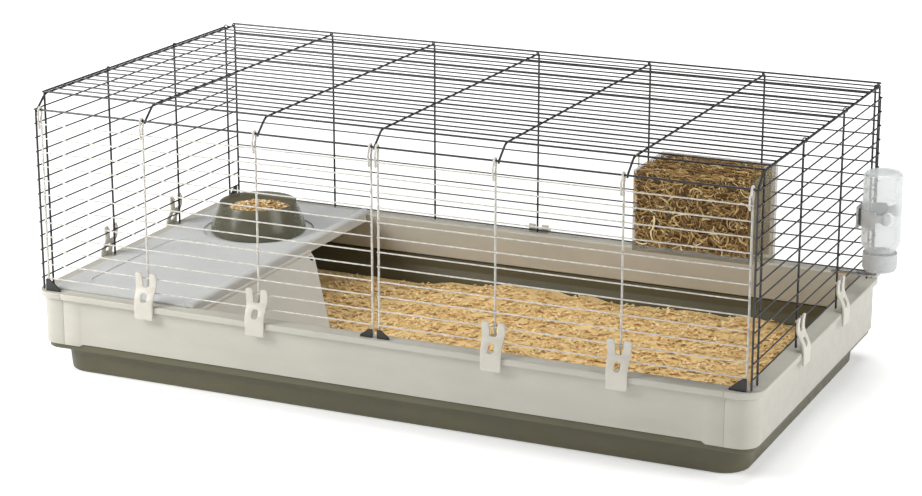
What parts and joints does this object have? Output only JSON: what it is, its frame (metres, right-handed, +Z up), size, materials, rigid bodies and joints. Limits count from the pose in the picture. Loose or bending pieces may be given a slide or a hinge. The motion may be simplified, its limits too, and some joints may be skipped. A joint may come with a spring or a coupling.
{
  "type": "rabbit hutch",
  "caption": "Long wire rabbit hutch on a deep plastic base, with front doors, a shelf and ramp, a hay rack, a feeding bowl and a water bottle.",
  "frame": {"origin": "centre of the tray's underside", "axes": "+Z up, +X along the length towards the bottle's end, -Y towards the two doors"},
  "size_m": [1.2585, 0.657, 0.4556],
  "materials": {
    "tray_plastic": "moulded, fine grain",
    "skirt_plastic": "moulded satin",
    "shavings": "loose softwood shavings",
    "black_wire": "black powder coat on steel wire",
    "white_wire": "cream powder coat on steel wire",
    "black_plastic": "moulded satin",
    "clip_plastic": "moulded satin",
    "shelf_plastic": "moulded satin",
    "ramp_plastic": "moulded satin",
    "bowl_plastic": "smoked translucent",
    "food": "dry mixed feed",
    "rack_plastic": "smoked translucent",
    "hay": "dried grass",
    "bracket_plastic": "moulded satin",
    "bottle_plastic": "clear",
    "steel": "drawn tube"
  },
  "bodies": {
    "base": {"base_tray": "tray_plastic", "skirt_front": "skirt_plastic", "skirt_back": "skirt_plastic", "skirt_left_end": "skirt_plastic", "skirt_right_end": "skirt_plastic", "bedding": "shavings"},
    "wire_top": {"roof_panel": "black_wire", "back_panel": "black_wire", "left_end_panel": "black_wire", "right_end_panel": "black_wire", "back_left_gusset": "black_plastic", "back_right_gusset": "black_plastic", "hay_rack": "rack_plastic", "hay": "hay", "bottle_bracket": "bracket_plastic"},
    "left_door": {"left_door": "white_wire", "left_door_outer_gusset": "black_plastic", "left_door_inner_gusset": "black_plastic"},
    "right_door": {"right_door": "white_wire", "right_door_outer_gusset": "black_plastic", "right_door_inner_gusset": "black_plastic"},
    "shelf": {"shelf": "shelf_plastic"},
    "ramp": {"ramp": "ramp_plastic", "ramp_peg_front": "black_plastic", "ramp_peg_back": "black_plastic"},
    "bowl": {"bowl": "bowl_plastic", "food": "food"},
    "water_bottle": {"bottle": "bottle_plastic", "bottle_cap": "bracket_plastic", "sipper_tube": "steel"},
    "sipper_ball": {"sipper_ball": "steel"},
    "clip_front_1": {"clip_front_1": "clip_plastic"},
    "clip_front_2": {"clip_front_2": "clip_plastic"},
    "clip_front_3": {"clip_front_3": "clip_plastic"},
    "clip_front_4": {"clip_front_4": "clip_plastic"},
    "clip_left_1": {"clip_left_1": "clip_plastic"},
    "clip_left_2": {"clip_left_2": "clip_plastic"},
    "clip_right_1": {"clip_right_1": "clip_plastic"},
    "clip_right_2": {"clip_right_2": "clip_plastic"},
    "clip_back": {"clip_back": "clip_plastic"}
  },
  "joints": [
    {"name": "wire_top_lift", "type": "slide", "parent": "base", "child": "wire_top", "axis": [0, 0, 1], "range_m": [0, 0.25]},
    {"name": "left_door_swing", "type": "hinge", "parent": "wire_top", "child": "left_door", "pos_m": [-0.29, -0.3125, 0.4282], "axis": [-1, 0, 0], "range_deg": [0, 215]},
    {"name": "right_door_swing", "type": "hinge", "parent": "wire_top", "child": "right_door", "pos_m": [0.29, -0.3125, 0.4282], "axis": [-1, 0, 0], "range_deg": [0, 215]},
    {"name": "shelf_lift", "type": "slide", "parent": "base", "child": "shelf", "axis": [0, 0, 1], "range_m": [0, 0.12]},
    {"name": "ramp_fold", "type": "hinge", "parent": "shelf", "child": "ramp", "pos_m": [-0.3156, -0.11, 0.128], "axis": [0, -1, 0], "range_deg": [0, 80]},
    {"name": "bowl_lift", "type": "slide", "parent": "shelf", "child": "bowl", "axis": [0, 0, 1], "range_m": [0, 0.08]},
    {"name": "bottle_pull", "type": "slide", "parent": "wire_top", "child": "water_bottle", "axis": [1, 0, 0], "range_m": [0, 0.08]},
    {"name": "sipper_ball_push", "type": "slide", "parent": "water_bottle", "child": "sipper_ball", "axis": [1, 0, 0], "range_m": [0, 0.0015]},
    {"name": "clip_front_1_swing", "type": "hinge", "parent": "left_door", "child": "clip_front_1", "pos_m": [-0.39417, -0.3125, 0.1785], "axis": [-1, 0, 0], "range_deg": [0, 100]},
    {"name": "clip_front_2_swing", "type": "hinge", "parent": "left_door", "child": "clip_front_2", "pos_m": [-0.19833, -0.3125, 0.1785], "axis": [-1, 0, 0], "range_deg": [0, 100]},
    {"name": "clip_front_3_swing", "type": "hinge", "parent": "right_door", "child": "clip_front_3", "pos_m": [0.19333, -0.3125, 0.1785], "axis": [-1, 0, 0], "range_deg": [0, 100]},
    {"name": "clip_front_4_swing", "type": "hinge", "parent": "right_door", "child": "clip_front_4", "pos_m": [0.38917, -0.3125, 0.1785], "axis": [-1, 0, 0], "range_deg": [0, 100]},
    {"name": "clip_left_1_swing", "type": "hinge", "parent": "wire_top", "child": "clip_left_1", "pos_m": [-0.5875, -0.10417, 0.1785], "axis": [0, 1, 0], "range_deg": [0, 100]},
    {"name": "clip_left_2_swing", "type": "hinge", "parent": "wire_top", "child": "clip_left_2", "pos_m": [-0.5875, 0.10417, 0.1785], "axis": [0, 1, 0], "range_deg": [0, 100]},
    {"name": "clip_right_1_swing", "type": "hinge", "parent": "wire_top", "child": "clip_right_1", "pos_m": [0.5875, -0.10417, 0.1785], "axis": [0, -1, 0], "range_deg": [0, 100]},
    {"name": "clip_right_2_swing", "type": "hinge", "parent": "wire_top", "child": "clip_right_2", "pos_m": [0.5875, 0.10417, 0.1785], "axis": [0, -1, 0], "range_deg": [0, 100]},
    {"name": "clip_back_swing", "type": "hinge", "parent": "wire_top", "child": "clip_back", "pos_m": [0, 0.3125, 0.1404], "axis": [1, 0, 0], "range_deg": [0, 55]}
  ]
}
